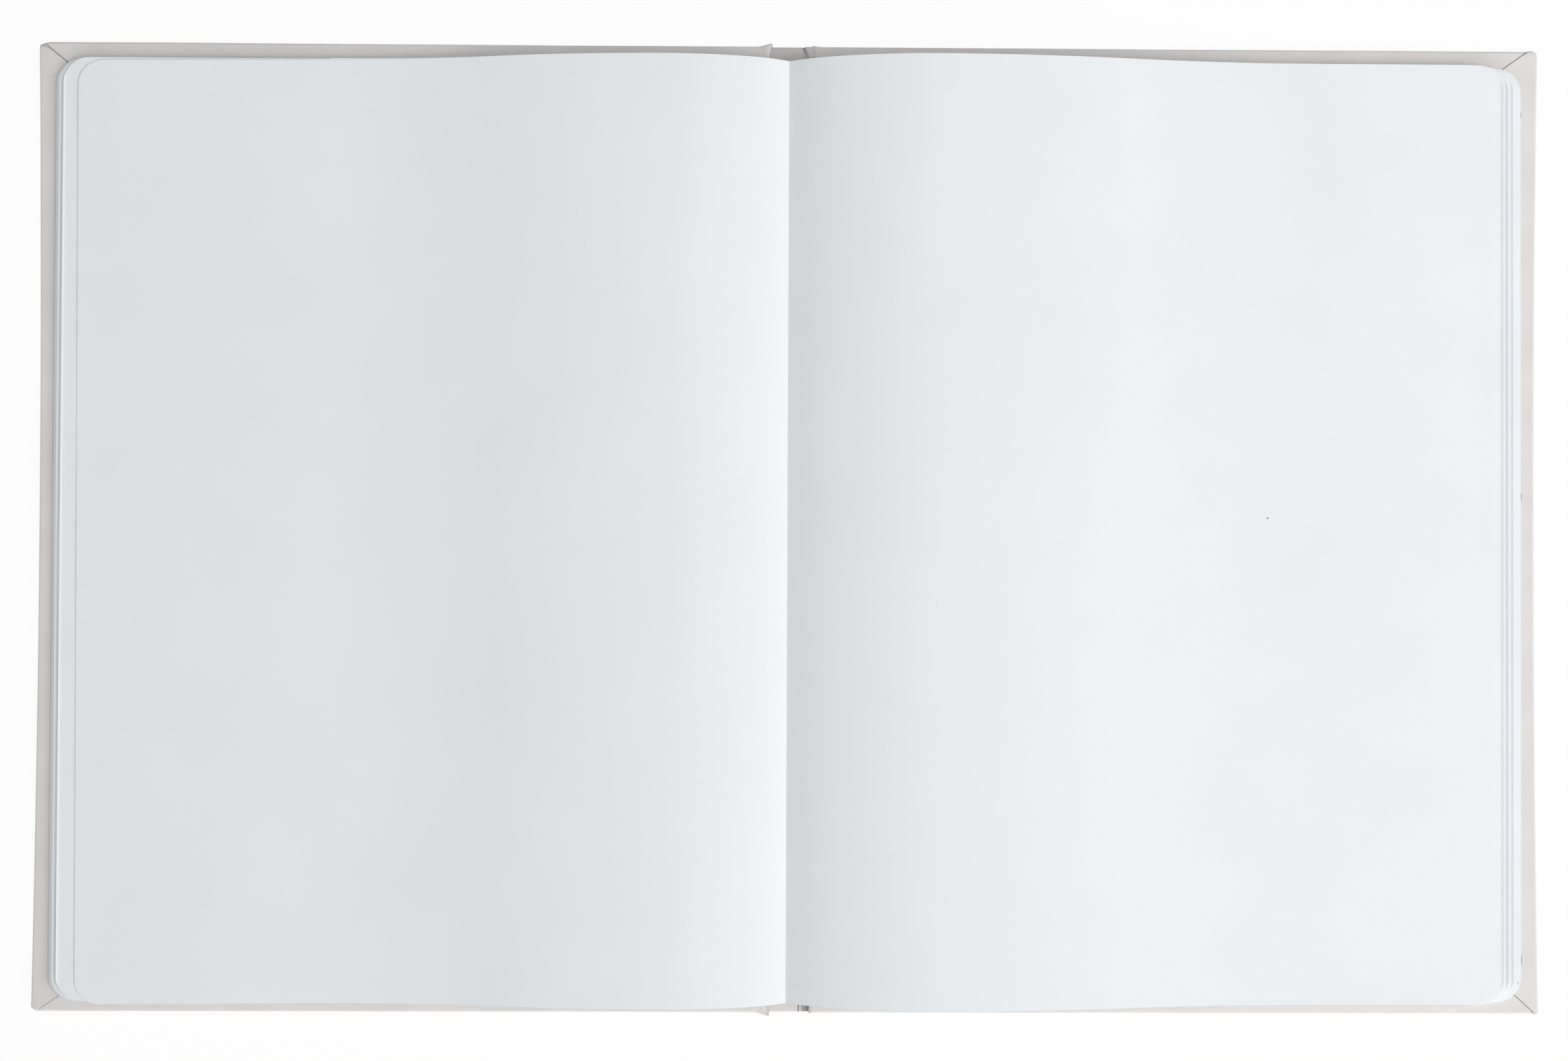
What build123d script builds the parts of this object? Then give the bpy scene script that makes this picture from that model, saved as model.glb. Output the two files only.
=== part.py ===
from build123d import *
import os

# A case-bound notebook lying open. X runs across the spread with the gutter at 0 and the back cover
# on +X, Y runs from tail to head, and Z is up from the table. All sizes are millimetres.

# Case
COVER_HEIGHT = 250.0
BOARD_WIDTH = 187.5
BOARD_THICKNESS = 1.8
BOARD_CORNER = 0.5
SPINE_BOARD_THICKNESS = 1.2
COVERING_THICKNESS = 0.3
TURN_IN_WIDTH = 15.0
MITRE_GAP = 0.25
MITRE_START = 2.0
JOINT_GAP = 2.6
JOINT_GROOVE_DEPTH = 0.6
JOINT_GROOVE_RUN = 0.7
HINGE_HEIGHT = 1.2

# Endpapers
ENDPAPER_THICKNESS = 0.175
PASTEDOWN_INSET = 3.2
FLYLEAF_INSET = 3.9

# Page block, each stack given by its thickness at the fore-edge and the inset of its leaf groups
# from the cover's edge, lowest group first
PAGE_HEIGHT = 242.2
PAGE_SHIFT = -0.7
PAGE_CORNER_RADIUS = 6.35
FRONT_STACK_THICKNESS = 2.25
BACK_STACK_THICKNESS = 3.35
FRONT_GROUP_INSETS = (4.0, 4.9, 6.3, 10.6)
BACK_GROUP_INSETS = (5.8, 7.7, 9.2, 11.2)

# Arch of the open pages: distances from the gutter, and heights of the crest over the page at the
# fore-edge and of the crest over the shoulder
GUTTER_HEIGHT = 5.2
FRONT_SHOULDER_AT = 9.3
FRONT_SHOULDER_DROP = 3.1
FRONT_CREST_AT = 31.0
FRONT_CREST_RISE = 7.7
FRONT_ARCH_FOOT = 119.0
BACK_SHOULDER_AT = 11.1
BACK_SHOULDER_DROP = 3.7
BACK_CREST_AT = 37.0
BACK_CREST_RISE = 8.2
BACK_ARCH_FOOT = 137.0

# Spine lining
LINING_THICKNESS = 0.3
LINING_SHORTER = 12.0

# Clearances
LEAF_CLEARANCE = 0.1
GUTTER_CLEARANCE = 0.1
LINING_CLEARANCE = 0.1
SEAT_CLEARANCE = 0.2

# Levels above the table
board_top = COVERING_THICKNESS + BOARD_THICKNESS
cover_top = board_top + COVERING_THICKNESS
pastedown_top = cover_top + ENDPAPER_THICKNESS
flyleaf_top = pastedown_top + ENDPAPER_THICKNESS
front_page_top = flyleaf_top + FRONT_STACK_THICKNESS
back_page_top = flyleaf_top + BACK_STACK_THICKNESS
spine_board_top = COVERING_THICKNESS + SPINE_BOARD_THICKNESS
spine_turn_in_top = spine_board_top + COVERING_THICKNESS
lining_bottom = spine_turn_in_top + LINING_CLEARANCE
lining_top = lining_bottom + LINING_THICKNESS
page_floor = lining_top + LINING_CLEARANCE

# Places across the spread: with both joints folded square the two page stacks just meet
hinge_at = (front_page_top + back_page_top + LEAF_CLEARANCE) / 2 - HINGE_HEIGHT
spine_edge = hinge_at - JOINT_GAP / 2
board_start = hinge_at + JOINT_GAP / 2
board_end = board_start + BOARD_WIDTH
cover_edge = board_end + COVERING_THICKNESS
half_height = COVER_HEIGHT / 2


def block(x0, x1, y0, y1, z0, z1):
    """A box between two corners."""
    return Pos(x0, y0, z0) * Box(x1 - x0, y1 - y0, z1 - z0, align=(Align.MIN, Align.MIN, Align.MIN))


def outer_corners(solid):
    """The two upright edges at the fore-edge corners of a piece on the back half."""
    return solid.edges().filter_by(Axis.Z).group_by(Axis.X)[-1]


def along_spine(points, y0, y1):
    """A closed section in X and Z, carried along the spine from y0 to y1."""
    section = make_face(Polyline(*points, close=True))
    return Pos(0, y1, 0) * extrude(Plane.XZ * section, amount=y1 - y0)


def cover_board():
    """Greyboard of the back half."""
    reach = half_height - COVERING_THICKNESS
    board = block(board_start, board_end, -reach, reach, COVERING_THICKNESS, board_top)
    return fillet(outer_corners(board), BOARD_CORNER)


def mitre_slot(end):
    """The seam where two turn-ins meet at a fore-edge corner, at the head (end 1) or the tail (end -1)."""
    seam = (TURN_IN_WIDTH - MITRE_START) * 2**0.5
    slot = Rectangle(seam + MITRE_GAP, MITRE_GAP, align=(Align.MAX, Align.CENTER))
    corner = Pos(cover_edge - MITRE_START, end * (half_height - MITRE_START), board_top)
    return extrude(corner * Rot(0, 0, end * 45) * slot, amount=COVERING_THICKNESS)


def cover_covering():
    """Covering sheet of the back half: outside face, edges, and turn-ins with mitred corners."""
    sheet = block(board_start, cover_edge, -half_height, half_height, 0, cover_top)
    sheet = fillet(outer_corners(sheet), BOARD_CORNER)
    window = half_height - TURN_IN_WIDTH
    sheet -= cover_board()
    sheet -= block(board_start, cover_edge - TURN_IN_WIDTH, -window, window, board_top, cover_top)
    for end in (1, -1):
        sheet -= mitre_slot(end)
    return sheet


def leaf_plate(inset, z0, z1):
    """A flat plate of leaves with round fore-edge corners, inset from the edge of the back cover."""
    tail = PAGE_SHIFT - PAGE_HEIGHT / 2
    plate = block(board_start, cover_edge - inset, tail, tail + PAGE_HEIGHT, z0, z1)
    return fillet(outer_corners(plate), PAGE_CORNER_RADIUS)


def endpaper():
    """Pastedown of the back half, pressed down between the turn-ins, with its flyleaf folded over it."""
    window = half_height - TURN_IN_WIDTH - SEAT_CLEARANCE
    pressed_end = cover_edge - TURN_IN_WIDTH - SEAT_CLEARANCE
    pressed = block(board_start, pressed_end, -window, window, board_top, cover_top)
    pastedown = leaf_plate(PASTEDOWN_INSET, cover_top, pastedown_top)
    flyleaf = leaf_plate(FLYLEAF_INSET, pastedown_top, flyleaf_top)
    return pressed + pastedown + flyleaf


def arch_line(page_top, shoulder_at, shoulder_drop, crest_at, crest_rise, arch_foot):
    """The top leaf in section: two arcs up from the gutter over the shoulder to the crest, and an
    even double curve down to the flat of the page."""
    crest = (crest_at, page_top + crest_rise)
    shoulder = (shoulder_at, page_top + crest_rise - shoulder_drop)
    middle = ((crest_at + arch_foot) / 2, page_top + crest_rise / 2)
    upper_rise = TangentArc(crest, shoulder, tangent=(-1, 0))
    lower_rise = TangentArc(shoulder, (GUTTER_CLEARANCE, GUTTER_HEIGHT), tangent=upper_rise % 1)
    upper_fall = TangentArc(crest, middle, tangent=(1, 0))
    lower_fall = TangentArc(middle, (arch_foot, page_top), tangent=upper_fall % 1)
    return [lower_rise, upper_rise, upper_fall, lower_fall]


def page_stack(page_top, arch, group_insets):
    """One stack of leaves, made on the back half: the arched leaves, and below them the leaf groups
    that show as steps at the fore-edge."""
    arch_foot = arch[-1]
    top_edge = cover_edge - group_insets[-1]
    rim = Polyline(
        (arch_foot, page_top),
        (top_edge, page_top),
        (top_edge, flyleaf_top),
        (board_start, flyleaf_top),
        (board_start, page_floor),
        (GUTTER_CLEARANCE, page_floor),
        (GUTTER_CLEARANCE, GUTTER_HEIGHT),
    )
    section = make_face([*arch_line(page_top, *arch), rim])
    leaves = extrude(Plane.XZ * section, amount=PAGE_HEIGHT / 2, both=True)
    leaves = fillet(outer_corners(leaves), PAGE_CORNER_RADIUS)
    stack = Pos(0, PAGE_SHIFT, 0) * leaves
    group_thickness = (page_top - flyleaf_top) / len(group_insets)
    for count, inset in enumerate(group_insets[:-1], start=1):
        stack += leaf_plate(inset, flyleaf_top, flyleaf_top + count * group_thickness)
    return stack


def spine_board():
    """Narrow card inside the spine."""
    reach = half_height - COVERING_THICKNESS
    return block(-spine_edge, spine_edge, -reach, reach, COVERING_THICKNESS, spine_board_top)


def mirrored(points):
    """A line of points from the gutter to the back, with its mirror image in front of it."""
    return [(-x, z) for x, z in reversed(points)] + points


def spine_covering():
    """Covering sheet across the spine: pressed into a groove at each joint, and turned in at head and tail."""
    groove_start = spine_edge + JOINT_GROOVE_RUN
    groove_end = board_start - JOINT_GROOVE_RUN
    groove_top = JOINT_GROOVE_DEPTH + COVERING_THICKNESS
    outside = mirrored(
        [(spine_edge, 0), (groove_start, JOINT_GROOVE_DEPTH), (groove_end, JOINT_GROOVE_DEPTH), (board_start, 0)]
    )
    inside = [(x, z + COVERING_THICKNESS) for x, z in outside]
    turn_in_under = mirrored(
        [(spine_edge, spine_board_top), (groove_start, groove_top), (groove_end, groove_top)]
    )
    turn_in_over = [(x, z + COVERING_THICKNESS) for x, z in turn_in_under]
    sheet = along_spine(outside + inside[::-1], -half_height, half_height)
    fold = half_height - COVERING_THICKNESS
    flap = half_height - TURN_IN_WIDTH
    lip = outside[1:-1] + turn_in_over[::-1]
    for end in (1, -1):
        sheet += along_spine(turn_in_under + turn_in_over[::-1], *sorted((end * flap, end * half_height)))
        sheet += along_spine(lip, *sorted((end * fold, end * half_height)))
    return sheet


def spine_lining():
    """Strip glued to the back of the page block."""
    width = spine_edge - LINING_CLEARANCE
    tail = PAGE_SHIFT - (PAGE_HEIGHT - LINING_SHORTER) / 2
    head = PAGE_SHIFT + (PAGE_HEIGHT - LINING_SHORTER) / 2
    return block(-width, width, tail, head, lining_bottom, lining_top)


def in_front(solid):
    """The same piece on the front half."""
    return mirror(solid, about=Plane.YZ)


front_arch = (FRONT_SHOULDER_AT, FRONT_SHOULDER_DROP, FRONT_CREST_AT, FRONT_CREST_RISE, FRONT_ARCH_FOOT)
back_arch = (BACK_SHOULDER_AT, BACK_SHOULDER_DROP, BACK_CREST_AT, BACK_CREST_RISE, BACK_ARCH_FOOT)

pieces = {
    "back_board": cover_board(),
    "back_covering": cover_covering(),
    "back_endpaper": endpaper(),
    "back_pages": page_stack(back_page_top, back_arch, BACK_GROUP_INSETS),
    "front_board": in_front(cover_board()),
    "front_covering": in_front(cover_covering()),
    "front_endpaper": in_front(endpaper()),
    "front_pages": in_front(page_stack(front_page_top, front_arch, FRONT_GROUP_INSETS)),
    "spine_board": spine_board(),
    "spine_covering": spine_covering(),
    "spine_lining": spine_lining(),
}

os.makedirs("parts", exist_ok=True)
for name, solid in pieces.items():
    export_step(solid, f"parts/{name}.step")
print("hinges at x", -hinge_at, hinge_at, "z", HINGE_HEIGHT, "cover edge", cover_edge)
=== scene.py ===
import math

import bmesh
import bpy
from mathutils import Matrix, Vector, noise


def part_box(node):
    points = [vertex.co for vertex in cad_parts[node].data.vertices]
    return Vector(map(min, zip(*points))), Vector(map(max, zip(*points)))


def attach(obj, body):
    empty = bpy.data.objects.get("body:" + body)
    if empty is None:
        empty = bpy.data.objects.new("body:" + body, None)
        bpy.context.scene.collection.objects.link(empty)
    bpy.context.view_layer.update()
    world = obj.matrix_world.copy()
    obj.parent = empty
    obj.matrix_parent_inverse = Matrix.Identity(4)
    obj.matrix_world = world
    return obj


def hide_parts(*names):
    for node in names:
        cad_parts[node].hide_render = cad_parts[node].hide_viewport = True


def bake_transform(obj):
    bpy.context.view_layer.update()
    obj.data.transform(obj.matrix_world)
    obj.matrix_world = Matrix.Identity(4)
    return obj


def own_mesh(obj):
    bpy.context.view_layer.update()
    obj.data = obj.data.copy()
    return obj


# A blank case-bound notebook lying open. Meshes are worked out in millimetres, with x counted from
# the middle of the spine outwards on both halves. side is -1 for the front half and 1 for the back.

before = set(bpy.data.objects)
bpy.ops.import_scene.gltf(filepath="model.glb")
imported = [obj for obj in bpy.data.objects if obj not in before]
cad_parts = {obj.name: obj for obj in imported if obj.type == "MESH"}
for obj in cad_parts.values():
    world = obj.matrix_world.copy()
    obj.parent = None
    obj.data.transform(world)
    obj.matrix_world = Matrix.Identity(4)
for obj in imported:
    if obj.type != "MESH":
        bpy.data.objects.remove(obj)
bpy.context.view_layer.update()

MM = 0.001
FRONT = -1
BACK = 1
HEAD = 1
TAIL = -1


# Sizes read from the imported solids
def box_mm(node):
    """Lowest and highest corner of a solid, in millimetres."""
    low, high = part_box(node)
    return low / MM, high / MM


covering_low, covering_high = box_mm("back_covering")
board_start = covering_low.x
cover_edge = covering_high.x
half_height = covering_high.y
cover_top = covering_high.z
pages_low, pages_high = box_mm("back_pages")
page_tail = pages_low.y
page_head = pages_high.y
flyleaf_top = box_mm("back_endpaper")[1].z
spine_board_high = box_mm("spine_board")[1]
spine_edge = spine_board_high.x
spine_board_top = spine_board_high.z
lining_top = box_mm("spine_lining")[1].z
back_crest = pages_high.z
front_crest = box_mm("front_pages")[1].z

# Covering sheet of a cover, with insets counted from the cover's edge
COVERING_THICKNESS = 0.28
TURN_IN_WIDTH = 15.0
FLAP_INSETS = (TURN_IN_WIDTH, 10.0, 7.5, 6.0, 5.0, 4.2, 3.5, 2.8, 2.2, 1.6, 1.2, 0.85)
UNDERSIDE_INSETS = (1.0, 3.0)
FOLD_RADIUS = 0.6
FOLD_STEPS = 5
CORNER_RADIUS = 0.8
CORNER_STEPS = 7
FIRST_END_STEP = 0.4
FIRST_FORE_EDGE_STEP = 0.5
STEP_GROWTH = 1.3
FORE_EDGE_FLARE = 1.1
FLARE_RUN = 14
EDGE_WOBBLE = 0.08
WOBBLE_SHARE = 0.7
WOBBLE_SCALE = 0.045
WOBBLE_LAYER = 7.0
WOBBLE_RUN = 3

# Fore-edge corners of the sheet
CORNER_REACH = 2.2
LEAST_SHRINK = 0.02
BEVEL_SHARES = (0.35, 0.65)
SEAM_HALF_WIDTH = 0.19
SEAM_DEPTH = 0.25
SEAM_OPENING_RUN = 0.25
SEAM_FADE = 1.5
SEAM_OFFSET_RUN = 4
SEAM_SPREAD = 5.0
FLAP_LAP = 0.14
LAP_LENGTH = 2.5
LAP_RISE_RUN = 1.5
NICK_RUN = 0.5
NICK_GAIN = 2.2
TIP_DEPTH = 1.6

# Ears where the fold ends at a joint
EAR_RUN = 3.4
EAR_DEPTH = 2.8
EAR_LIFT = 0.55
EAR_PULL = 0.9
JOINT_END_RADIUS = 0.7
JOINT_END_DROP = 0.7

# Covering sheet across the spine
JOINT_GROOVE_DEPTH = 0.6
JOINT_GROOVE_RUN = 0.7
SPINE_STATIONS = (0.0, 0.8, 1.6, 2.2, 2.5, 2.65, 2.8, 2.95)
JOINT_STEPS = 12
SPINE_FLAP_INSETS = (TURN_IN_WIDTH, 10.0, 7.0, 5.5, 4.6, 4.0, 3.5, 3.0, 2.6, 2.2, 1.8, 1.4, 1.0, 0.7)
SPINE_UNDERSIDE_SHARES = (0.99, 0.97, 0.9, 0.7, 0.4)
SPINE_FOLD_RADIUS = 0.5
SPINE_FOLD_STEPS = 4
HOLLOW_HALF_HEIGHT = 0.01
# Painted shade along the spine sheet's creases for each millimetre of their depth, and the most painted
# shade on that sheet
CREASE_SHADE = 2.2
MOST_DARKENING = 0.85

# Endpapers
FRONT_ENDPAPER_INSETS = (3.8, 3.85)
BACK_ENDPAPER_INSETS = (3.55, 4.15)
ENDPAPER_GAP = 0.01

# Leaves: a group is given by its inset, fan and curl at the fore-edge, and an arch by its shoulder as
# place and drop from the crest, and by the places of its crest and its foot
LEAF_PITCH = 0.115
LEAF_FILL = 0.62
PAGE_CORNER_RADIUS = 6.35
PAGE_CORNER_STEPS = 10
FRONT_STACK_THICKNESS = 2.25
BACK_STACK_THICKNESS = 3.35
FRONT_GROUPS = ((3.9, 0.12, 0.0), (4.8, 0.15, 0.2), (6.25, 0.1, 0.35))
BACK_GROUPS = ((5.9, 0.25, 0.4), (7.6, 0.25, 0.45), (9.25, 0.2, 0.3))
FRONT_ARCH = {"shoulder": (9.3, 3.1), "crest_at": 31.0, "foot_at": 119.0}
BACK_ARCH = {"shoulder": (11.1, 3.7), "crest_at": 37.0, "foot_at": 137.0}
FRONT_ARCH_LEAVES = 62
BACK_ARCH_LEAVES = 66
GROUP_GAP = 0.04
TOP_LEAF_GAP = 0.02
LEAST_LIFT = 0.02
LEAF_SHUFFLE = 0.05
ARCH_SHUFFLE = 0.25
END_SHUFFLE_SHARE = 0.5
END_SEED_SHIFT = 50
FIRST_PILE_SEED = 3
PILE_SEED_STEP = 11
ARCH_SEED = 40
FOLLOW_RUN = 30
CURL_RUN = 0.6
STACK_START = 5.75
ARCH_STEPS = 44
BOTH_ENDS = (0.0, 1.0)

# Top leaf
FRONT_TOP_INSET = 10.6
BACK_TOP_INSET = 11.4
FRONT_TOP_SKEW = 0.8
FRONT_TOP_SLANT = 0.55
SKEW_START = 70.0
TOP_LEAF_CURL = 0.05
TOP_LEAF_CURL_RUN = 5
COCKLE_HEIGHT = 0.16
COCKLE_SCALE = 0.022
COCKLE_LAYER = 3.0
COCKLE_BIAS = 0.5
COCKLE_START = 12
COCKLE_RUN = 30
TOP_ARCH_STEPS = 70
TOP_FLAT_STEPS = 10
TOP_ROWS = 36

# Gutter
GUTTER_AT = {FRONT: 0.54, BACK: -0.53}
GUTTER_HEIGHT = 5.2
GUTTER_CLEARANCE = 0.12
GUTTER_STEPS = 14

# Mesh finish
SHARP_OVER_DEGREES = 38
MERGE_DISTANCE = 0.0005

# Finishes: a fleck is given by its place and radius, a speck by its place and its half-widths
SPECULAR_LEVEL = 0.25
NOISE_RANGE = (0.3, 0.7)
SPECK_FADE = (0.6, 1.1)
FLECK_GREY = (0.12, 0.13, 0.15, 1)
FLECK_COVER = 0.75
SPECK_COVER = 0.6
FLECK_ON_BACK_PAGE = ((123.0, 3.0, 6.8), 0.42)
FLECK_ON_FLYLEAF = ((189.1, -116.9, flyleaf_top), 0.2)
SPECKS_ON_TURN_INS = (
    ((190.15, 8.9, cover_top), (0.14, 1.3)),
    ((190.15, 108.4, cover_top), (0.12, 0.9)),
    ((190.15, -111.0, cover_top), (0.14, 1.6)),
    ((189.9, 120.9, cover_top), (0.13, 0.13)),
    ((-191.0, 116.0, cover_top), (0.13, 0.13)),
)


# Nodes
def add_node(tree, kind, inputs=None, **settings):
    """A node with its settings made and its inputs set or linked."""
    made = tree.nodes.new(kind)
    for key, value in settings.items():
        setattr(made, key, value)
    for key, value in (inputs or {}).items():
        if isinstance(value, bpy.types.NodeSocket):
            tree.links.new(value, made.inputs[key])
        else:
            made.inputs[key].default_value = value
    return made


def add_math(tree, operation, first, second):
    """The result of one sum of two values or sockets."""
    made = add_node(tree, "ShaderNodeMath", {0: first, 1: second}, operation=operation)
    return made.outputs[0]


def vector_math(tree, operation, *values):
    """A node for one sum of vectors."""
    return add_node(tree, "ShaderNodeVectorMath", dict(enumerate(values)), operation=operation)


# Materials
def blank_material(name):
    """A material with its Principled node, and its tree."""
    material = bpy.data.materials.new(name)
    material.use_nodes = True
    tree = material.node_tree
    shader = tree.nodes["Principled BSDF"]
    shader.inputs["Specular IOR Level"].default_value = SPECULAR_LEVEL
    return material, tree, shader


def object_place(tree):
    """The Object coordinates."""
    return add_node(tree, "ShaderNodeTexCoord").outputs["Object"]


def object_noise(tree, feature_mm, stretch=(1, 1, 1), detail=3.0):
    """Noise on Object coordinates with features of about that size."""
    mapping = add_node(
        tree, "ShaderNodeMapping", {"Vector": object_place(tree), "Scale": stretch}
    )
    made = add_node(
        tree,
        "ShaderNodeTexNoise",
        {"Vector": mapping.outputs[0], "Scale": 1 / (feature_mm * MM), "Detail": detail},
    )
    return made.outputs["Fac"]


def mix_colour(tree, share, first, second):
    """A colour between two others."""
    made = add_node(tree, "ShaderNodeMix", {0: share, 6: first, 7: second}, data_type="RGBA")
    return made.outputs[2]


def map_range(tree, value, from_low, from_high, to_low, to_high):
    """A value moved from one range to another."""
    ranges = {0: value, 1: from_low, 2: from_high, 3: to_low, 4: to_high}
    return add_node(tree, "ShaderNodeMapRange", ranges).outputs[0]


def spread(tree, value, low, high):
    """A noise value stretched to run from low to high."""
    return map_range(tree, value, *NOISE_RANGE, low, high)


def weighed(tree, first, share, second):
    """Two values added, the first by a share and the second by the rest."""
    rest = add_math(tree, "MULTIPLY", second, 1 - share)
    return add_math(tree, "ADD", add_math(tree, "MULTIPLY", first, share), rest)


def rough_and_bumped(tree, shader, height, roughness, relief_mm):
    """Roughness and relief from one height value."""
    bump = add_node(tree, "ShaderNodeBump", {"Height": height, "Distance": relief_mm * MM})
    tree.links.new(bump.outputs[0], shader.inputs["Normal"])
    tree.links.new(spread(tree, height, *roughness), shader.inputs["Roughness"])


def page_paper(name, pale, deep, fleck):
    """Smooth uncoated paper: short fibres, cloudy formation, and one dark fleck of a given place and
    radius."""
    material, tree, shader = blank_material(name)
    cloud = object_noise(tree, feature_mm=26.0, detail=2.0)
    fibre = object_noise(tree, feature_mm=0.45, stretch=(1, 0.4, 1), detail=4.0)
    blend = weighed(tree, cloud, 0.6, fibre)
    colour = mix_colour(tree, spread(tree, blend, 0.0, 1.0), deep, pale)
    place, radius = fleck
    distance = vector_math(tree, "DISTANCE", object_place(tree), Vector(place) * MM)
    inside = add_math(tree, "LESS_THAN", distance.outputs["Value"], radius * MM)
    colour = mix_colour(tree, add_math(tree, "MULTIPLY", inside, FLECK_COVER), colour, FLECK_GREY)
    tree.links.new(colour, shader.inputs["Base Color"])
    rough_and_bumped(tree, shader, fibre, roughness=(0.7, 0.86), relief_mm=0.012)
    return material


def covering_paper(name, pale, deep, shade_and_speck_grey, specks):
    """Matt covering sheet: fine grain, mottled tone, painted shade in seams, creases and recesses and
    over the spine's head turn-ins, a darker corner nick where its darkening attribute says, and real dark
    specks, each given by its place and its half-width across and along the spine."""
    material, tree, shader = blank_material(name)
    mottle = object_noise(tree, feature_mm=14.0, detail=4.0)
    grain = object_noise(tree, feature_mm=0.6, stretch=(1, 0.7, 1), detail=5.0)
    blend = weighed(tree, mottle, 0.65, grain)
    colour = mix_colour(tree, spread(tree, blend, 0.0, 1.0), deep, pale)
    painted_darkening = add_node(tree, "ShaderNodeAttribute", attribute_name="painted_darkening")
    # Painted shade, and the darker corner nick, from the vertex attribute, broken up by the grain
    patchy_darkening = add_math(tree, "MULTIPLY", painted_darkening.outputs["Fac"], spread(tree, grain, 0.75, 1.0))
    colour = mix_colour(tree, patchy_darkening, colour, shade_and_speck_grey)
    here = object_place(tree)
    for place, (wide, long) in specks:
        from_middle = vector_math(tree, "SUBTRACT", here, Vector(place) * MM)
        per_half_width = (1 / (wide * MM), 1 / (long * MM), 1 / MM)
        scaled = vector_math(tree, "MULTIPLY", from_middle.outputs[0], per_half_width)
        distance = vector_math(tree, "LENGTH", scaled.outputs[0]).outputs["Value"]
        faded = map_range(tree, distance, *SPECK_FADE, SPECK_COVER, 0.0)
        colour = mix_colour(tree, faded, colour, shade_and_speck_grey)
    tree.links.new(colour, shader.inputs["Base Color"])
    rough_and_bumped(tree, shader, grain, roughness=(0.6, 0.8), relief_mm=0.03)
    return material


def grey_board(name, dark, light):
    """Pressed greyboard with mixed light and dark fibres."""
    material, tree, shader = blank_material(name)
    fibre = object_noise(tree, feature_mm=1.2, stretch=(1, 0.3, 3), detail=5.0)
    colour = mix_colour(tree, spread(tree, fibre, 0.0, 1.0), dark, light)
    tree.links.new(colour, shader.inputs["Base Color"])
    rough_and_bumped(tree, shader, fibre, roughness=(0.8, 0.95), relief_mm=0.08)
    return material


def lining_gauze(name, gap, thread):
    """Open plain weave, as crossed threads."""
    material, tree, shader = blank_material(name)
    here = object_place(tree)
    threads = []
    for direction in ("X", "Y"):
        wave = add_node(
            tree,
            "ShaderNodeTexWave",
            {"Vector": here, "Scale": 350.0, "Distortion": 0.6},
            bands_direction=direction,
        )
        threads.append(wave.outputs["Fac"])
    weave = add_math(tree, "MAXIMUM", *threads)
    tree.links.new(mix_colour(tree, weave, gap, thread), shader.inputs["Base Color"])
    rough_and_bumped(tree, shader, weave, roughness=(0.8, 0.92), relief_mm=0.1)
    return material


page_white = page_paper(
    "page_paper",
    pale=(0.852, 0.879, 0.9, 1),
    deep=(0.822, 0.849, 0.869, 1),
    fleck=FLECK_ON_BACK_PAGE,
)
endpaper_white = page_paper(
    "endpaper_paper",
    pale=(0.83, 0.865, 0.88, 1),
    deep=(0.79, 0.825, 0.84, 1),
    fleck=FLECK_ON_FLYLEAF,
)
covering_grey = covering_paper(
    "covering_paper",
    pale=(0.76, 0.74, 0.73, 1),
    deep=(0.69, 0.665, 0.655, 1),
    # Grey for the painted shade and for the real dark specks
    shade_and_speck_grey=(0.12, 0.105, 0.1, 1),
    specks=SPECKS_ON_TURN_INS,
)
board_grey = grey_board("greyboard", dark=(0.2, 0.19, 0.17, 1), light=(0.34, 0.32, 0.29, 1))
gauze = lining_gauze("lining_gauze", gap=(0.36, 0.34, 0.29, 1), thread=(0.7, 0.67, 0.6, 1))


# Meshes
def to_piece(name, mesh):
    """An object in the scene for a finished mesh, shaded smooth but for its sharp edges."""
    mesh.polygons.foreach_set("use_smooth", [True] * len(mesh.polygons))
    mesh.set_sharp_from_angle(angle=math.radians(SHARP_OVER_DEGREES))
    mesh.update()
    piece = bpy.data.objects.new(name, mesh)
    bpy.context.scene.collection.objects.link(piece)
    return piece


def mesh_of(built, name, material, side):
    """A mesh in metres from a bmesh in millimetres, turned to its half, faces outwards."""
    bmesh.ops.remove_doubles(built, verts=built.verts, dist=MERGE_DISTANCE)
    bmesh.ops.dissolve_degenerate(built, edges=built.edges, dist=MERGE_DISTANCE)
    for vert in built.verts:
        vert.co = Vector((vert.co.x * side, vert.co.y, vert.co.z)) * MM
    bmesh.ops.recalc_face_normals(built, faces=built.faces)
    mesh = bpy.data.meshes.new(name)
    built.to_mesh(mesh)
    built.free()
    mesh.materials.append(material)
    return mesh


def joined(name, meshes, material):
    """One mesh of one material from several."""
    built = bmesh.new()
    for mesh in meshes:
        built.from_mesh(mesh)
    for face in built.faces:
        face.material_index = 0
    whole = bpy.data.meshes.new(name)
    built.to_mesh(whole)
    built.free()
    whole.materials.append(material)
    return whole


def bridge(built, row, following):
    """Faces between two rows of points."""
    for index in range(len(row) - 1):
        built.faces.new((row[index], row[index + 1], following[index + 1], following[index]))


def skin_over(built, rows):
    """Faces over a grid of points."""
    for row, following in zip(rows, rows[1:]):
        bridge(built, row, following)


def close_sheet(built, outer, inner):
    """Both skins of a sheet, each given as rows of points, and the rim between them."""
    skin_over(built, outer)
    skin_over(built, inner)
    for place in (0, -1):
        bridge(built, outer[place], inner[place])
        bridge(built, [row[place] for row in outer], [row[place] for row in inner])


def smooth_step(value):
    """An even rise from 0 to 1."""
    share = min(1.0, max(0.0, value))
    return share * share * (3 - 2 * share)


def even(start, finish, steps):
    """Evenly spaced stations, both ends included."""
    return [start + (finish - start) * step / steps for step in range(steps + 1)]


def graded(length, first):
    """Distances from 0 to length, close together at both ends."""
    near = [0.0]
    step = first
    while near[-1] + step < length / 2:
        near.append(near[-1] + step)
        step *= STEP_GROWTH
    return near + [length - distance for distance in reversed(near)]


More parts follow.
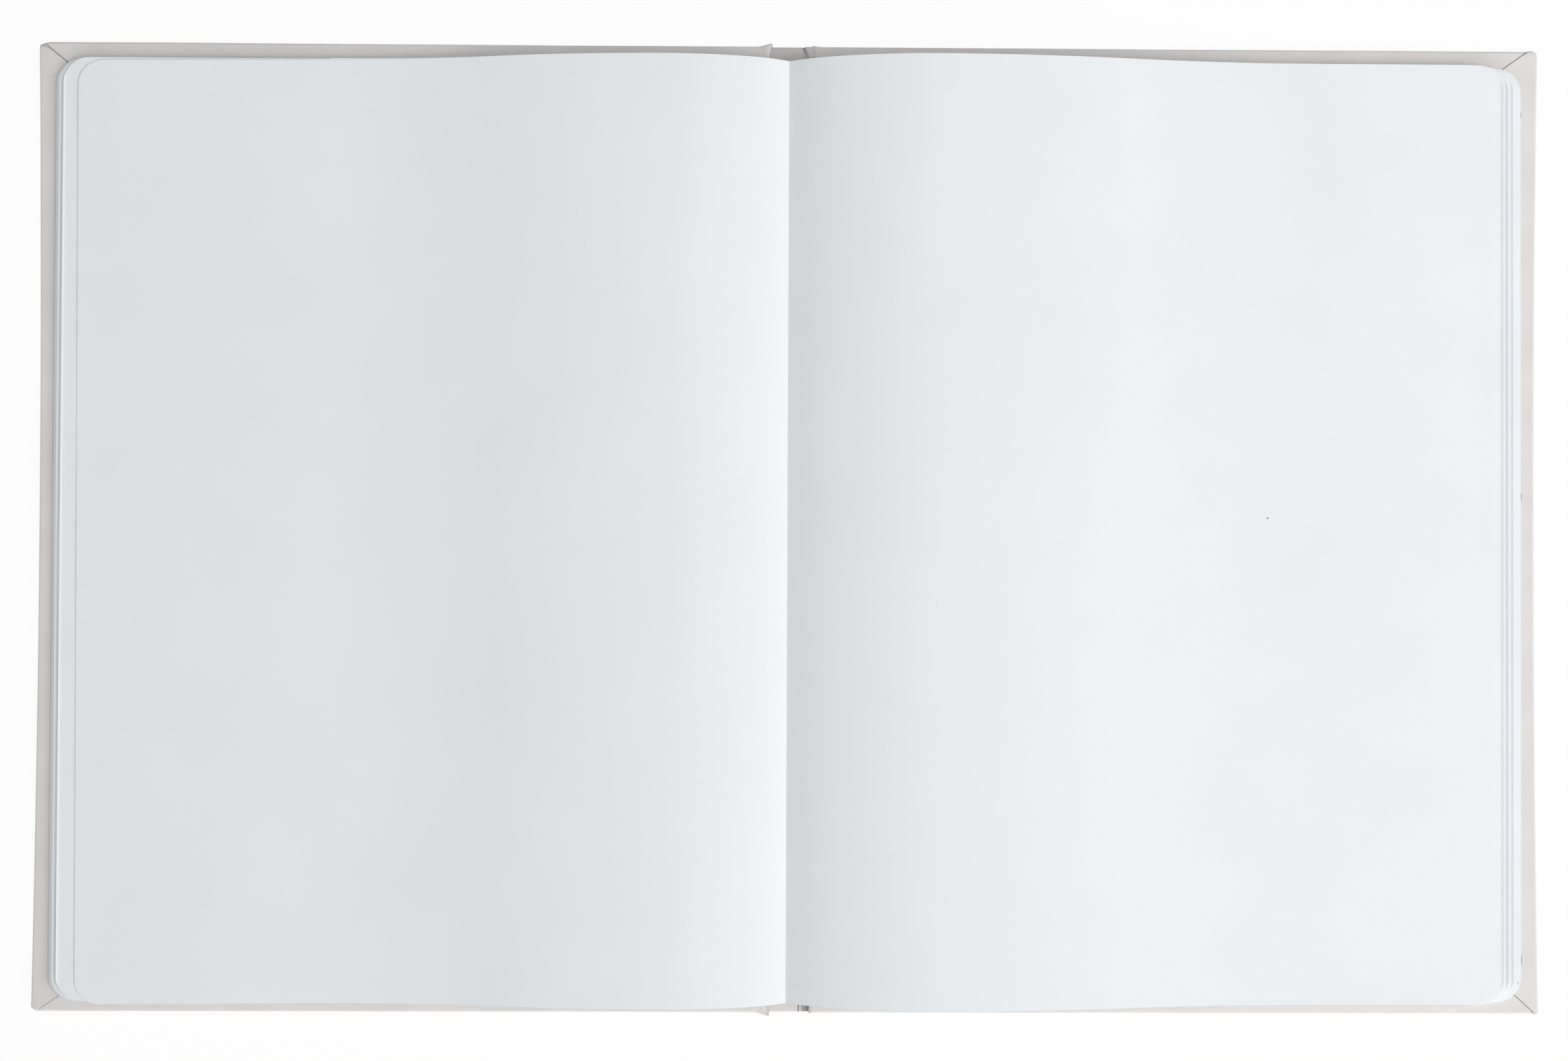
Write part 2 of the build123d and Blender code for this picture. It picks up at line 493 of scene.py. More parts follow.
def fold_round(low, high, radius, steps):
    """The sheet round a fold from its upper to its lower side, as inset and height."""
    turns = even(0.0, math.pi / 2, steps)
    upper = [(radius * (1 - math.sin(turn)), high - radius * (1 - math.cos(turn))) for turn in turns]
    lower = [(radius * (1 - math.cos(turn)), low + radius * (1 - math.sin(turn))) for turn in turns]
    return upper + lower


# Covering sheet of one cover
def fold_profile():
    """The sheet in section from the flap's edge round the fold to the outside, as inset and height."""
    flap = [(inset, cover_top) for inset in FLAP_INSETS]
    underside = [(inset, 0.0) for inset in UNDERSIDE_INSETS]
    return flap + fold_round(0.0, cover_top, FOLD_RADIUS, FOLD_STEPS) + underside


def wrap_route():
    """Stations round a cover from the joint at the head to the joint at the tail: which run, and which
    share of it."""
    end_run = cover_edge - CORNER_RADIUS - SEAM_HALF_WIDTH - board_start
    edge_run = 2 * (half_height - CORNER_RADIUS - SEAM_HALF_WIDTH)
    turn = even(0.0, 1.0, CORNER_STEPS)[1:-1]
    along_end = [distance / end_run for distance in graded(end_run, FIRST_END_STEP)]
    along_edge = [distance / edge_run for distance in graded(edge_run, FIRST_FORE_EDGE_STEP)]
    route = [("head", share) for share in along_end]
    route += [("head_corner", share) for share in turn]
    route += [("fore_edge", share) for share in along_edge]
    route += [("tail_corner", 1 - share) for share in turn]
    route += [("tail", 1 - share) for share in along_end]
    return route


def on_route(run, share, inset):
    """A station's end of the book, and how far it is from its fore-edge corner along the outline at an
    inset: negative along the end, positive along the fore-edge."""
    reach = max(inset, CORNER_RADIUS)
    half_turn = max(CORNER_RADIUS - inset, 0.0) * math.pi / 4
    if run == "fore_edge":
        length = half_height - reach - SEAM_HALF_WIDTH
        from_middle = length * (1 - 2 * share)
        end = HEAD if from_middle > 0 else TAIL
        return end, half_turn + SEAM_HALF_WIDTH + length - abs(from_middle)
    end = HEAD if run.startswith("head") else TAIL
    if run.endswith("corner"):
        return end, half_turn * (2 * share - 1)
    length = cover_edge - reach - SEAM_HALF_WIDTH - board_start
    return end, -half_turn - SEAM_HALF_WIDTH - length * (1 - share)


def on_outline(end, from_corner, inset):
    """The place in plan at a distance along the outline at an inset from the cover's edge."""
    reach = max(inset, CORNER_RADIUS)
    radius = max(CORNER_RADIUS - inset, 0.0)
    half_turn = radius * math.pi / 4
    x = cover_edge - reach
    y = half_height - reach
    if from_corner <= -half_turn:
        x += from_corner + half_turn
        y += radius
    elif from_corner >= half_turn:
        x += radius
        y -= from_corner - half_turn
    else:
        angle = math.pi / 4 - from_corner / radius
        x += radius * math.cos(angle)
        y += radius * math.sin(angle)
    return Vector((x, end * y))


def corner_fold(place, inset, fold):
    """A point of the sheet moved to the folded shape of its fore-edge corner, and how far the bevel
    moved it. The bevel is given by its runs along the end and along the fore-edge."""
    end = math.copysign(1, place.y)
    from_side = cover_edge - place.x
    from_end = half_height - abs(place.y)
    shrink = max(LEAST_SHRINK, 1 - inset / CORNER_REACH)
    run_end, run_side = (run * shrink for run in fold["bevel"])
    cut = max(0.0, 1 - (from_side - inset) / run_end - (from_end - inset) / run_side)
    side_share, end_share = BEVEL_SHARES
    from_side += side_share * cut * run_end
    from_end += end_share * cut * run_side
    return Vector((cover_edge - from_side, end * (half_height - from_end))), cut * shrink


def cover_wrap(name, side, folds, ears):
    """Covering of one cover, wrapped round its board. folds gives the shape of the two fore-edge
    corners, and ears says how far the fold stands out at the joint, each for the head and the tail."""
    built = bmesh.new()
    # Per point: painted shade in the seams, and the darkening at the corner nicks
    painted_darkening = built.verts.layers.float.new("painted_darkening")

    def station(run, share, inset, height, outside, flap):
        """A point of the sheet at a station of the route and a step of the profile. flap is 1 on the
        turn-in and 0 on the outside of the cover."""
        end, from_seam = on_route(run, share, inset)
        fold = folds[end]
        seam_start, offset_at_fold, offset_growth, groove_shade = fold["seam"]
        darkening = 0.0
        lift = 0.0
        depth = 0.0
        if outside and run.endswith("corner"):
            opening = flap * smooth_step((inset - seam_start) / SEAM_OPENING_RUN)
            opening *= smooth_step(SEAM_FADE - abs(from_seam) / SEAM_HALF_WIDTH)
            slope = max(0.0, 1 - inset / FOLD_RADIUS)
            groove = SEAM_DEPTH * opening * (1 - slope / 2)
            depth = groove * slope
            lift = -groove * math.sqrt(1 - slope * slope)
            # Painted shade in the seam's groove
            darkening = groove_shade * opening
        if outside and run == "fore_edge":
            rise = smooth_step((inset - FOLD_RADIUS) / LAP_RISE_RUN)
            lift = flap * FLAP_LAP * math.exp(-from_seam / LAP_LENGTH) * rise
        offset = offset_at_fold + offset_growth * min(inset, SEAM_SPREAD) / SEAM_OFFSET_RUN
        slid = from_seam - flap * offset * math.exp(-((from_seam / SEAM_SPREAD) ** 2))
        place = on_outline(end, slid, inset + depth)
        if outside:
            wave = noise.noise(Vector((side * place.x, place.y, WOBBLE_LAYER)) * WOBBLE_SCALE)
            fade = smooth_step(1 - inset / WOBBLE_RUN)
            place = place + Vector((1, end)) * WOBBLE_SHARE * EDGE_WOBBLE * wave * fade
        place, cut = corner_fold(place, inset, fold)
        # The corner's nick is darkened as well
        nick = fold["nick"] * min(1.0, NICK_GAIN * cut) * smooth_step(inset / NICK_RUN)
        darkening = max(darkening, nick)
        upper = smooth_step(height / cover_top)
        tip_at, tip_rise, tip_reach = fold["tip"]
        tip = max(0.0, 1 - abs(cover_edge - place.x - tip_at) / tip_reach)
        tip *= max(0.0, 1 - inset / TIP_DEPTH)
        place.y += end * tip_rise * tip * upper
        from_middle = (place.y / half_height) ** 2
        place.x += FORE_EDGE_FLARE * from_middle * smooth_step(1 - (cover_edge - place.x) / FLARE_RUN)
        from_joint = max(0.0, place.x - board_start)
        ear = ears[end] * max(0.0, 1 - from_joint / EAR_RUN) ** 2 * smooth_step(1 - inset / EAR_DEPTH)
        place.y += end * ear * upper
        lift += EAR_LIFT * ear * upper
        past_end = max(0.0, 1 - from_joint / JOINT_END_RADIUS)
        if outside and height == cover_top:
            lift -= JOINT_END_RADIUS * (1 - math.sqrt(1 - past_end * past_end)) * JOINT_END_DROP
        place.x -= EAR_PULL * ear * past_end
        vert = built.verts.new((place.x, place.y, height + lift))
        vert[painted_darkening] = darkening
        return vert

    route = wrap_route()
    outer, inner = [], []
    for inset, height in fold_profile():
        flap = smooth_step((height - FOLD_RADIUS) / (cover_top - 2 * FOLD_RADIUS))
        outer.append([station(run, share, inset, height, True, flap) for run, share in route])
        depth = max(inset, COVERING_THICKNESS)
        level = min(max(height, COVERING_THICKNESS), cover_top - COVERING_THICKNESS)
        inner.append([station(run, share, depth, level, False, flap) for run, share in route])
    for skin in (outer, inner):
        skin_over(built, skin)
        built.faces.new(skin[-1])
    bridge(built, outer[0], inner[0])
    for end in (0, -1):
        bridge(built, [ring[end] for ring in outer], [ring[end] for ring in inner])
    built.faces.new((outer[-1][0], outer[-1][-1], inner[-1][-1], inner[-1][0]))
    return to_piece(name, mesh_of(built, name, covering_grey, side))


# Covering sheet across the spine
def joint_levels(x, dip):
    """Outside and turned-in height of the spine's covering at a distance from its middle. dip says how
    far the turn-in sinks into the joint."""
    into_groove = smooth_step((x - spine_edge) / JOINT_GROOVE_RUN)
    out_of_groove = smooth_step((x - board_start + JOINT_GROOVE_RUN) / JOINT_GROOVE_RUN)
    outside = JOINT_GROOVE_DEPTH * into_groove * (1 - out_of_groove)
    spine_top = spine_board_top + COVERING_THICKNESS
    groove_top = JOINT_GROOVE_DEPTH + 2 * COVERING_THICKNESS
    return outside, spine_top + (groove_top - spine_top) * into_groove * dip


def spine_run(low, high):
    """Half of the spine's sheet at one distance from its middle, as y and height: flap, fold, then the
    outside towards the middle of the book."""
    flap = [(inset, high) for inset in SPINE_FLAP_INSETS]
    fold = fold_round(low, high, min(SPINE_FOLD_RADIUS, (high - low) / 2), SPINE_FOLD_STEPS)
    run = [(half_height - inset, z) for inset, z in flap + fold]
    return run + [(half_height * share, low) for share in SPINE_UNDERSIDE_SHARES]


def crease_depth(x, y, creases):
    """Depth of the creases at a point."""
    here = Vector((x, y))
    depth = 0.0
    for start, finish, deep, wide in creases:
        line = Vector(finish) - Vector(start)
        along = (here - Vector(start)).dot(line) / line.length_squared
        nearest = Vector(start) + line * min(1.0, max(0.0, along))
        depth += deep * math.exp(-(((here - nearest).length / wide) ** 2))
    return depth


def spine_strip(name, side, dips, creases):
    """Half of the covering across the spine, from its middle to one cover, turned in at head and tail.
    dips gives how far the turn-in sinks into the joint at either end, the painted shade in the joint's
    recess there and the painted shade over the whole turn-in, and creases are folds: start and finish in
    plan, depth and width, with painted shade along them."""
    built = bmesh.new()
    # Per point: painted shade on the spine's sheet
    painted_darkening = built.verts.layers.float.new("painted_darkening")
    outer, inner = [], []
    for x in [*SPINE_STATIONS, *even(spine_edge, board_start, JOINT_STEPS)]:
        into_joint = smooth_step((x - spine_edge) / JOINT_GROOVE_RUN)
        outer_row, inner_row = [], []
        for end in (HEAD, TAIL):
            dip, groove_shade, turn_in_shade = dips[end]
            low, high = joint_levels(x, dip)
            middle = (low + high) / 2
            inside_low = min(low + COVERING_THICKNESS, middle - HOLLOW_HALF_HEIGHT)
            inside_high = max(high - COVERING_THICKNESS, middle + HOLLOW_HALF_HEIGHT)
            outer_half, inner_half = [], []
            for y, z in spine_run(low, high):
                upper = z > middle
                crease = crease_depth(x, end * y, creases) if upper else 0.0
                vert = built.verts.new((x, end * y, z - crease))
                # Painted shade over the head turn-in, along the creases and in the joint's recess
                darkening = max(turn_in_shade * upper, CREASE_SHADE * crease, groove_shade * into_joint * upper)
                vert[painted_darkening] = min(MOST_DARKENING, darkening)
                outer_half.append(vert)
                depth = min(y, half_height - COVERING_THICKNESS)
                level = min(max(z, inside_low), inside_high)
                inner_half.append(built.verts.new((x, end * depth, level - crease)))
            outer_row += outer_half if end == HEAD else outer_half[::-1]
            inner_row += inner_half if end == HEAD else inner_half[::-1]
        outer.append(outer_row)
        inner.append(inner_row)
    close_sheet(built, outer, inner)
    return to_piece(name, mesh_of(built, name, covering_grey, side))


# Leaves
def page_arch(page_top, crest_top, shape, gutter_at):
    """Height of the top leaf over the distance from the spine's middle: two arcs up from the gutter to
    the crest, and an even double curve down to the flat of the page."""
    crest = Vector((shape["crest_at"], crest_top))
    shoulder_at, shoulder_drop = shape["shoulder"]
    shoulder = Vector((shoulder_at, crest.y - shoulder_drop))
    foot = Vector((shape["foot_at"], page_top))
    middle = (crest + foot) / 2
    gutter = Vector((gutter_at, GUTTER_HEIGHT))

    def level_arc(x, level, through):
        """Height on the arc that is level at one point and passes through another."""
        run = through.x - level.x
        drop = level.y - through.y
        radius = (run * run + drop * drop) / (2 * drop)
        rise = math.sqrt(radius * radius - (x - level.x) ** 2)
        return level.y - radius + math.copysign(rise, radius)

    rise_radius = (crest - shoulder).length_squared / (2 * shoulder_drop)
    inwards = (Vector((crest.x, crest.y - rise_radius)) - shoulder).normalized()
    to_gutter = gutter - shoulder
    root_radius = to_gutter.length_squared / (2 * to_gutter.dot(inwards))
    root_centre = shoulder + inwards * root_radius

    def height(x):
        """Height of the top leaf at x."""
        if x < shoulder.x:
            return root_centre.y + math.sqrt(root_radius**2 - (x - root_centre.x) ** 2)
        if x < crest.x:
            return level_arc(x, crest, shoulder)
        if x < middle.x:
            return level_arc(x, crest, middle)
        if x < foot.x:
            return level_arc(x, foot, middle)
        return page_top

    return height


def leaf_stack_tree():
    """Stacks copies of a leaf blank. The blank's z is 0 on its underside and 1 on its top, and its
    attributes under, lift and follow say where the stack lies, how tall it is and how far a point
    moves with the fore-edge."""
    tree = bpy.data.node_groups.new("leaf_stack", "GeometryNodeTree")
    tree.is_modifier = True
    sockets = {
        "Geometry": "NodeSocketGeometry",
        "Leaves": "NodeSocketInt",
        "Fill": "NodeSocketFloat",
        "Fan": "NodeSocketFloat",
        "Shuffle": "NodeSocketFloat",
        "Seed": "NodeSocketInt",
        "Material": "NodeSocketMaterial",
    }
    for label, kind in sockets.items():
        tree.interface.new_socket(label, in_out="INPUT", socket_type=kind)
    tree.interface.new_socket("Geometry", in_out="OUTPUT", socket_type="NodeSocketGeometry")
    given = tree.nodes.new("NodeGroupInput").outputs
    index = tree.nodes.new("GeometryNodeInputIndex").outputs[0]
    position = tree.nodes.new("GeometryNodeInputPosition").outputs[0]

    def attribute(name):
        """The value of a named attribute."""
        made = add_node(tree, "GeometryNodeInputNamedAttribute", {"Name": name}, data_type="FLOAT")
        return made.outputs["Attribute"]

    points = add_node(tree, "GeometryNodeMeshLine", {"Count": given["Leaves"], "Offset": (0, 0, 0)})
    copies = add_node(
        tree,
        "GeometryNodeInstanceOnPoints",
        {"Points": points.outputs[0], "Instance": given["Geometry"]},
    )
    numbered = add_node(
        tree,
        "GeometryNodeStoreNamedAttribute",
        {"Geometry": copies.outputs[0], "Name": "leaf", "Value": index},
        data_type="FLOAT",
        domain="INSTANCE",
    )
    real = add_node(tree, "GeometryNodeRealizeInstances", {"Geometry": numbered.outputs[0]})
    leaf = attribute("leaf")

    def shuffled(share, seed_shift):
        """A random shift for each leaf, as a share of Shuffle."""
        number = add_node(
            tree,
            "FunctionNodeRandomValue",
            {2: -1.0, 3: 1.0, "ID": leaf, "Seed": add_math(tree, "ADD", given["Seed"], seed_shift)},
            data_type="FLOAT",
        )
        shift = add_math(tree, "MULTIPLY", number.outputs[1], given["Shuffle"])
        return add_math(tree, "MULTIPLY", shift, share)

    place = add_node(tree, "ShaderNodeSeparateXYZ", {0: position})
    rank = add_math(tree, "ADD", leaf, add_math(tree, "MULTIPLY", place.outputs["Z"], given["Fill"]))
    top_rank = add_math(tree, "ADD", add_math(tree, "SUBTRACT", given["Leaves"], 1.0), given["Fill"])
    raised_by = add_math(tree, "MULTIPLY", add_math(tree, "DIVIDE", rank, top_rank), attribute("lift"))
    fan = add_math(tree, "MULTIPLY", add_math(tree, "DIVIDE", leaf, given["Leaves"]), given["Fan"])
    edge_shift = add_math(tree, "SUBTRACT", shuffled(1.0, 0), fan)
    shift = add_math(tree, "MULTIPLY", edge_shift, attribute("follow"))
    moved = add_node(
        tree,
        "ShaderNodeCombineXYZ",
        {
            "X": add_math(tree, "ADD", place.outputs["X"], shift),
            "Y": add_math(tree, "ADD", place.outputs["Y"], shuffled(END_SHUFFLE_SHARE, END_SEED_SHIFT)),
            "Z": add_math(tree, "ADD", attribute("under"), raised_by),
        },
    )
    bent = add_node(
        tree, "GeometryNodeSetPosition", {"Geometry": real.outputs[0], "Position": moved.outputs[0]}
    )
    finished = add_node(
        tree, "GeometryNodeSetMaterial", {"Geometry": bent.outputs[0], "Material": given["Material"]}
    )
    add_node(tree, "NodeGroupOutput", {"Geometry": finished.outputs[0]})
    return tree


leaf_stack = leaf_stack_tree()


def leaf_blank(
    side, stations, ends_at, under_at, lift_at, rows=BOTH_ENDS, follow_at=lambda x: 0.0, slant=0.0
):
    """A closed sheet with its outline in plan in metres, and the attributes that the stacking reads.
    ends_at gives the tail and head edge at a station, and slant moves the head of the fore-edge
    outwards and its tail inwards."""
    built = bmesh.new()
    under = built.verts.layers.float.new("under")
    lift = built.verts.layers.float.new("lift")
    follow = built.verts.layers.float.new("follow")
    skins = []
    for layer in (0, 1):
        grid = []
        for x in stations:
            tail, head = ends_at(x)
            turn = slant * max(0.0, x - SKEW_START) / (stations[-1] - SKEW_START)
            column = []
            for row in rows:
                y = tail + (head - tail) * row
                vert = built.verts.new((side * (x + turn * y / half_height) * MM, y * MM, layer))
                vert[under] = under_at(x, y) * MM
                vert[lift] = lift_at(x) * MM
                vert[follow] = side * follow_at(x)
                column.append(vert)
            grid.append(column)
        skins.append(grid)
    close_sheet(built, *skins)
    bmesh.ops.recalc_face_normals(built, faces=built.faces)
    mesh = bpy.data.meshes.new("leaf_blank")
    built.to_mesh(mesh)
    built.free()
    return mesh


def stacked(blank, leaves, fan=0.0, shuffle=0.0, seed=0, material=page_white):
    """The plain mesh of a stack of leaves made from a blank."""
    carrier = bpy.data.objects.new("leaf_carrier", blank)
    bpy.context.scene.collection.objects.link(carrier)
    modifier = carrier.modifiers.new("stack", "NODES")
    modifier.node_group = leaf_stack
    given = {
        "Leaves": leaves,
        "Fill": LEAF_FILL,
        "Fan": fan * MM,
        "Shuffle": shuffle * MM,
        "Seed": seed,
        "Material": material,
    }
    for socket in leaf_stack.interface.items_tree:
        if socket.in_out == "INPUT" and socket.name in given:
            modifier[socket.identifier] = given[socket.name]
    evaluated = carrier.evaluated_get(bpy.context.evaluated_depsgraph_get())
    mesh = bpy.data.meshes.new_from_object(evaluated)
    carrier.modifiers.remove(modifier)
    bpy.data.objects.remove(carrier)
    return mesh


def square_ends(x):
    """Tail and head edge of a leaf at a station away from its corners."""
    return page_tail, page_head


def leaf_ends(fore_edge, skew=0.0):
    """Tail and head edge of a leaf at a station, with round fore-edge corners, and its fore-edge
    slipped towards the tail by skew."""
    corner = fore_edge - PAGE_CORNER_RADIUS

    def ends_at(x):
        """Tail and head edge at x."""
        into = min(max(0.0, x - corner), PAGE_CORNER_RADIUS)
        drop = PAGE_CORNER_RADIUS - math.sqrt(PAGE_CORNER_RADIUS**2 - into**2)
        slip = skew * max(0.0, x - SKEW_START) / (fore_edge - SKEW_START)
        return page_tail + drop - slip, page_head - drop - slip

    return ends_at


def corner_stations(fore_edge):
    """Stations round a leaf's fore-edge corners."""
    corner = fore_edge - PAGE_CORNER_RADIUS
    turns = even(0.0, math.pi / 2, PAGE_CORNER_STEPS)
    return [corner + PAGE_CORNER_RADIUS * math.sin(turn) for turn in turns]


def flat_leaves(
    side, inset, low, high, leaves=1, fan=0.0, curl=0.0, shuffle=0.0, seed=0, material=page_white
):
    """A pile of flat leaves whose lowest one is inset from the cover's edge. curl lifts the fore-edge."""
    fore_edge = cover_edge - inset
    curl_start = fore_edge - fan - CURL_RUN
    follow_end = fore_edge - PAGE_CORNER_RADIUS
    follow_start = follow_end - FOLLOW_RUN
    blank = leaf_blank(
        side,
        [STACK_START, follow_start] + corner_stations(fore_edge),
        leaf_ends(fore_edge),
        under_at=lambda x, y: low + curl * smooth_step((x - curl_start) / (fore_edge - curl_start)),
        lift_at=lambda x: high - low,
        follow_at=lambda x: smooth_step((x - follow_start) / (follow_end - follow_start)),
    )
    return stacked(blank, leaves, fan, shuffle, seed, material)


def pile_top_at(thickness):
    """Top of the leaves that lie flat, over which the top leaf lies."""
    return flyleaf_top + thickness - LEAF_PITCH


def pile_levels(thickness, groups):
    """Underside, top, number of leaves and seed of each group of flat leaves, lowest first."""
    step = (thickness - LEAF_PITCH) / len(groups)
    levels = []
    for index in range(len(groups)):
        low = flyleaf_top + step * index
        seed = PILE_SEED_STEP * index + FIRST_PILE_SEED
        levels.append((low, low + step - GROUP_GAP, round(step / LEAF_PITCH), seed))
    return levels


def page_pile(name, side, thickness, groups):
    """The leaves that lie flat on a cover, in groups that step back at the fore-edge."""
    meshes = []
    for (inset, fan, curl), (low, high, leaves, seed) in zip(groups, pile_levels(thickness, groups)):
        meshes.append(flat_leaves(side, inset, low, high, leaves, fan, curl, LEAF_SHUFFLE, seed))
    return to_piece(name, joined(name, meshes, page_white))


def raised_leaves(name, side, thickness, height, foot_at, leaves, top_inset, skew, slant):
    """The leaves that arch up over the flat pile, and the top leaf that covers the whole page."""
    pile_top = pile_top_at(thickness)
    inner = leaf_blank(
        side,
        even(STACK_START, foot_at, ARCH_STEPS),
        square_ends,
        under_at=lambda x, y: pile_top,
        lift_at=lambda x: max(LEAST_LIFT, height(x) - LEAF_PITCH - TOP_LEAF_GAP - pile_top),
    )
    fore_edge = cover_edge - top_inset

    def ripple(x, y):
        """Slight cockle of the sheet, and the curl at its fore-edge."""
        wave = noise.noise(Vector((side * x, y, COCKLE_LAYER)) * COCKLE_SCALE) + COCKLE_BIAS
        curl = TOP_LEAF_CURL * smooth_step((x - fore_edge + TOP_LEAF_CURL_RUN) / TOP_LEAF_CURL_RUN)
        return COCKLE_HEIGHT * max(0.0, wave) * smooth_step((x - COCKLE_START) / COCKLE_RUN) + curl

    arch_stations = even(STACK_START, foot_at, TOP_ARCH_STEPS)
    flat_stations = even(foot_at, fore_edge - PAGE_CORNER_RADIUS, TOP_FLAT_STEPS)[1:-1]
    top = leaf_blank(
        side,
        arch_stations + flat_stations + corner_stations(fore_edge),
        leaf_ends(fore_edge, skew),
        under_at=lambda x, y: height(x) - LEAF_PITCH + ripple(x, y),
        lift_at=lambda x: LEAF_PITCH,
        rows=even(0.0, 1.0, TOP_ROWS),
        slant=slant,
    )
    arch = stacked(inner, leaves, shuffle=ARCH_SHUFFLE, seed=side + ARCH_SEED)
    return to_piece(name, joined(name, [arch, stacked(top, 1)], page_white))


def gutter_leaves(half, side, thickness, groups, height, arch_leaves):
    """The leaves where they come together at the gutter, over the spine and its joint: the roots of the
    flat pile, and the roots of the arch. Each stack keeps its leaves, which share the gutter evenly and
    run out to where the stack lies beyond it."""
    floor = lining_top + GUTTER_CLEARANCE
    start = GUTTER_AT[side]
    pile_top = pile_top_at(thickness)

    def level(x, share, beyond):
        """Height at x, from the share of the leaves that lie below and the height beyond the gutter."""
        turn = smooth_step((x - start) / (STACK_START - start))
        under = floor + (flyleaf_top - floor) * turn
        share_beyond = (beyond(x) - flyleaf_top) / (height(x) - flyleaf_top)
        return under + (height(x) - under) * (share + (share_beyond - share) * turn)

    def arch_top(x):
        """Top of the arch, under the top leaf."""
        return height(x) - LEAF_PITCH - TOP_LEAF_GAP

    flat = []
    for low, high, leaves, seed in pile_levels(thickness, groups):
        flat.append((lambda x, z=low: z, lambda x, z=high: z, leaves, LEAF_SHUFFLE, seed))
    arched = [
        (lambda x: pile_top, arch_top, arch_leaves, ARCH_SHUFFLE, side + ARCH_SEED),
        (lambda x: height(x) - LEAF_PITCH, height, 1, 0.0, 0),
    ]
    total = sum(stack[2] for stack in flat + arched)
    pieces = []
    below = 0
    for name, stacks in ((f"{half}_pile_roots", flat), (f"{half}_arch_roots", arched)):
        meshes = []
        for low_at, high_at, leaves, shuffle, seed in stacks:
            first = below / total
            below += leaves
            last = below / total
            blank = leaf_blank(
                side,
                even(start, STACK_START, GUTTER_STEPS),
                square_ends,
                under_at=lambda x, y: level(x, first, low_at),
                lift_at=lambda x: level(x, last, high_at) - level(x, first, low_at),
            )
            meshes.append(stacked(blank, leaves, shuffle=shuffle, seed=seed))
        pieces.append(to_piece(name, joined(name, meshes, page_white)))
    return pieces


def endpapers(name, side, insets):
    """The pastedown on a cover, and the flyleaf over it."""
    middle = (cover_top + flyleaf_top) / 2
    levels = ((cover_top, middle - ENDPAPER_GAP), (middle, flyleaf_top - ENDPAPER_GAP))
    sheets = []
    for inset, (low, high) in zip(insets, levels):
        sheets.append(flat_leaves(side, inset, low, high, material=endpaper_white))
    return to_piece(name, joined(name, sheets, endpaper_white))


# The notebook
# Fore-edge corners: bevel as its runs along the end and the fore-edge, tip of the flap as its place
# from the corner, rise and reach, seam as the inset where it starts, its offset from the diagonal at
# the fold, the offset's growth and the painted shade in its groove, and how dark the nick is
CORNER_FOLDS = {
    FRONT: {
        HEAD: {
            "bevel": (2.4, 0.85),
            "tip": (0.0, 0.0, 1.0),
            "seam": (0.6, 0.93, 0.45, 0.95),
            "nick": 0.5,
        },
        TAIL: {
            "bevel": (1.3, 0.9),
            "tip": (0.0, 0.0, 1.0),
            "seam": (0.5, 1.26, 1.4, 0.35),
            "nick": 0.1,
        },
    },
    BACK: {
        HEAD: {
            "bevel": (0.9, 0.3),
            "tip": (1.75, 0.34, 1.2),
            "seam": (-0.3, 2.6, 1.05, 0.95),
            "nick": 0.0,
        },
        TAIL: {
            "bevel": (0.3, 0.3),
            "tip": (0.0, 0.55, 1.7),
            "seam": (-0.3, 1.0, 0.0, 0.7),
            "nick": 0.0,
        },
    },
}
JOINT_EARS = {FRONT: {HEAD: 0.85, TAIL: 1.0}, BACK: {HEAD: 0.3, TAIL: 0.35}}
# Per half and end: dip of the turn-in into the joint, painted shade in the joint's recess, and painted
# shade over the whole turn-in
JOINT_DIPS = {
    FRONT: {HEAD: (0.1, 0.0, 0.2), TAIL: (0.1, 0.0, 0.0)},
    BACK: {HEAD: (-0.8, 0.0, 0.2), TAIL: (1.0, 0.6, 0.0)},
}
SPINE_CREASES = {
    FRONT: (),
    BACK: (
        ((3.1, 124.9), (4.2, 122.0), 0.32, 0.24),
        ((4.0, 124.9), (4.9, 122.0), -0.2, 0.4),
        ((2.75, -124.9), (2.8, -121.5), 0.35, 0.16),
    ),
}
BODY = {FRONT: "front_cover", BACK: "back_cover"}
HALF = {FRONT: "front", BACK: "back"}
STACKS = {
    FRONT: (FRONT_STACK_THICKNESS, FRONT_GROUPS, FRONT_ARCH, front_crest),
    BACK: (BACK_STACK_THICKNESS, BACK_GROUPS, BACK_ARCH, back_crest),
}
ARCH_LEAVES = {FRONT: FRONT_ARCH_LEAVES, BACK: BACK_ARCH_LEAVES}
TOP_LEAF = {
    FRONT: (FRONT_TOP_INSET, FRONT_TOP_SKEW, FRONT_TOP_SLANT),
    BACK: (BACK_TOP_INSET, 0.0, 0.0),
}
ENDPAPER_INSETS = {FRONT: FRONT_ENDPAPER_INSETS, BACK: BACK_ENDPAPER_INSETS}


